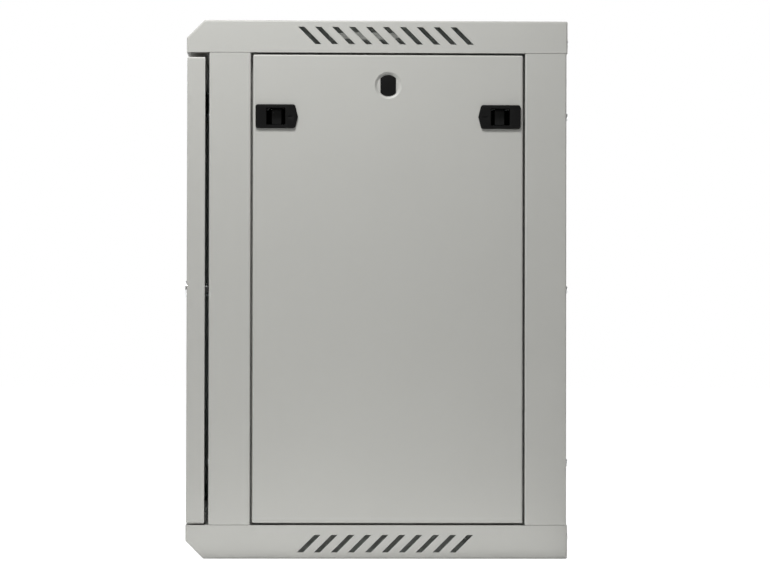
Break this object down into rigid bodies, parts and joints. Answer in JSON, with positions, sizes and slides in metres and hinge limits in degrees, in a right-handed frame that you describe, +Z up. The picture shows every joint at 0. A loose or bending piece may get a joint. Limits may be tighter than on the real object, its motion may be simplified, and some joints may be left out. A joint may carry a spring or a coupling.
{
  "type": "wall mount network cabinet",
  "caption": "Wall mount network cabinet: sheet steel body with bevelled vented covers, hinged glass door, slide-latched side panels and rack rails that adjust in depth.",
  "frame": {"origin": "middle of the four wall fixing holes, on the rear face of the back panel", "axes": "+X to the right seen from the door, +Y towards the wall, +Z up"},
  "size_m": [0.606, 0.4531, 0.635],
  "materials": {
    "grey_paint": "light grey fine-texture powder coat",
    "zinc_sheet": "zinc plated sheet",
    "fastener_steel": "zinc plated fasteners",
    "black_plastic": "black moulded plastic",
    "tinted_glass": "toughened safety glass, lightly tinted",
    "foam_seal": "black foam strip",
    "nylon": "natural nylon",
    "lock_chrome": "chrome plated lock"
  },
  "bodies": {
    "cabinet": {"back_panel": "grey_paint", "back_panel_screws": "fastener_steel", "bottom_cover": "grey_paint", "bracket_screws": "fastener_steel", "cable_plate_bottom": "grey_paint", "cable_plate_screws": "fastener_steel", "cable_plate_top": "grey_paint", "cover_front_screws": "fastener_steel", "cover_rear_screws": "fastener_steel", "depth_bracket_lower_left": "zinc_sheet", "depth_bracket_lower_right": "zinc_sheet", "depth_bracket_upper_left": "zinc_sheet", "depth_bracket_upper_right": "zinc_sheet", "earth_stud": "fastener_steel", "front_post_left": "grey_paint", "front_post_right": "grey_paint", "hinge_pin_lower": "fastener_steel", "hinge_washer": "nylon", "rear_post_left": "grey_paint", "rear_post_right": "grey_paint", "top_cover": "grey_paint"},
    "door": {"door_frame": "grey_paint", "door_glass": "tinted_glass", "glass_seal": "foam_seal", "glass_clips": "zinc_sheet", "clip_nuts": "fastener_steel", "hinge_shelf": "zinc_sheet", "hinge_spring": "fastener_steel", "lock_body": "lock_chrome", "lock_nut": "fastener_steel"},
    "hinge_pin": {"hinge_pin_upper": "fastener_steel"},
    "lock": {"lock_rotor": "lock_chrome", "lock_cam": "fastener_steel", "cam_screw": "fastener_steel"},
    "panel_right": {"side_panel_right": "grey_paint", "panel_plug_right": "black_plastic", "latch_housing_front_right": "black_plastic", "latch_housing_rear_right": "black_plastic"},
    "slider_front_right": {"latch_slider_front_right": "black_plastic"},
    "rail_front_right": {"rack_rail_front_right": "zinc_sheet", "rail_clamps_front_right": "fastener_steel"},
    "slider_rear_right": {"latch_slider_rear_right": "black_plastic"},
    "rail_rear_right": {"rack_rail_rear_right": "zinc_sheet", "rail_clamps_rear_right": "fastener_steel"},
    "panel_left": {"side_panel_left": "grey_paint", "panel_plug_left": "black_plastic", "latch_housing_front_left": "black_plastic", "latch_housing_rear_left": "black_plastic"},
    "slider_front_left": {"latch_slider_front_left": "black_plastic"},
    "rail_front_left": {"rack_rail_front_left": "zinc_sheet", "rail_clamps_front_left": "fastener_steel"},
    "slider_rear_left": {"latch_slider_rear_left": "black_plastic"},
    "rail_rear_left": {"rack_rail_rear_left": "zinc_sheet", "rail_clamps_rear_left": "fastener_steel"}
  },
  "joints": [
    {"name": "door_swing", "type": "hinge", "parent": "cabinet", "child": "door", "pos_m": [-0.2895, -0.4371, 0], "axis": [0, 0, -1], "range_deg": [0, 180]},
    {"name": "hinge_pin_pull", "type": "slide", "parent": "door", "child": "hinge_pin", "axis": [0, 0, -1], "range_m": [0, 0.009], "stiffness_N_per_m": 600, "springref_m": -0.012, "deforming": ["hinge_spring"]},
    {"name": "lock_turn", "type": "hinge", "parent": "door", "child": "lock", "pos_m": [0.26, -0.4471, 0], "axis": [0, -1, 0], "range_deg": [0, 90]},
    {"name": "panel_right_off", "type": "slide", "parent": "cabinet", "child": "panel_right", "axis": [1, 0, 0], "range_m": [0, 0.08]},
    {"name": "latch_front_right", "type": "slide", "parent": "panel_right", "child": "slider_front_right", "axis": [0, -1, 0], "range_m": [0, 0.005]},
    {"name": "latch_rear_right", "type": "slide", "parent": "panel_right", "child": "slider_rear_right", "axis": [0, 1, 0], "range_m": [0, 0.005]},
    {"name": "panel_left_off", "type": "slide", "parent": "cabinet", "child": "panel_left", "axis": [-1, 0, 0], "range_m": [0, 0.08]},
    {"name": "latch_front_left", "type": "slide", "parent": "panel_left", "child": "slider_front_left", "axis": [0, -1, 0], "range_m": [0, 0.005]},
    {"name": "latch_rear_left", "type": "slide", "parent": "panel_left", "child": "slider_rear_left", "axis": [0, 1, 0], "range_m": [0, 0.005]},
    {"name": "rail_front_right_depth", "type": "slide", "parent": "cabinet", "child": "rail_front_right", "axis": [0, 1, 0], "range_m": [-0.02, 0.06]},
    {"name": "rail_front_left_depth", "type": "slide", "parent": "cabinet", "child": "rail_front_left", "axis": [0, 1, 0], "range_m": [-0.02, 0.06]},
    {"name": "rail_rear_right_depth", "type": "slide", "parent": "cabinet", "child": "rail_rear_right", "axis": [0, -1, 0], "range_m": [-0.02, 0.06]},
    {"name": "rail_rear_left_depth", "type": "slide", "parent": "cabinet", "child": "rail_rear_left", "axis": [0, -1, 0], "range_m": [-0.02, 0.06]}
  ]
}
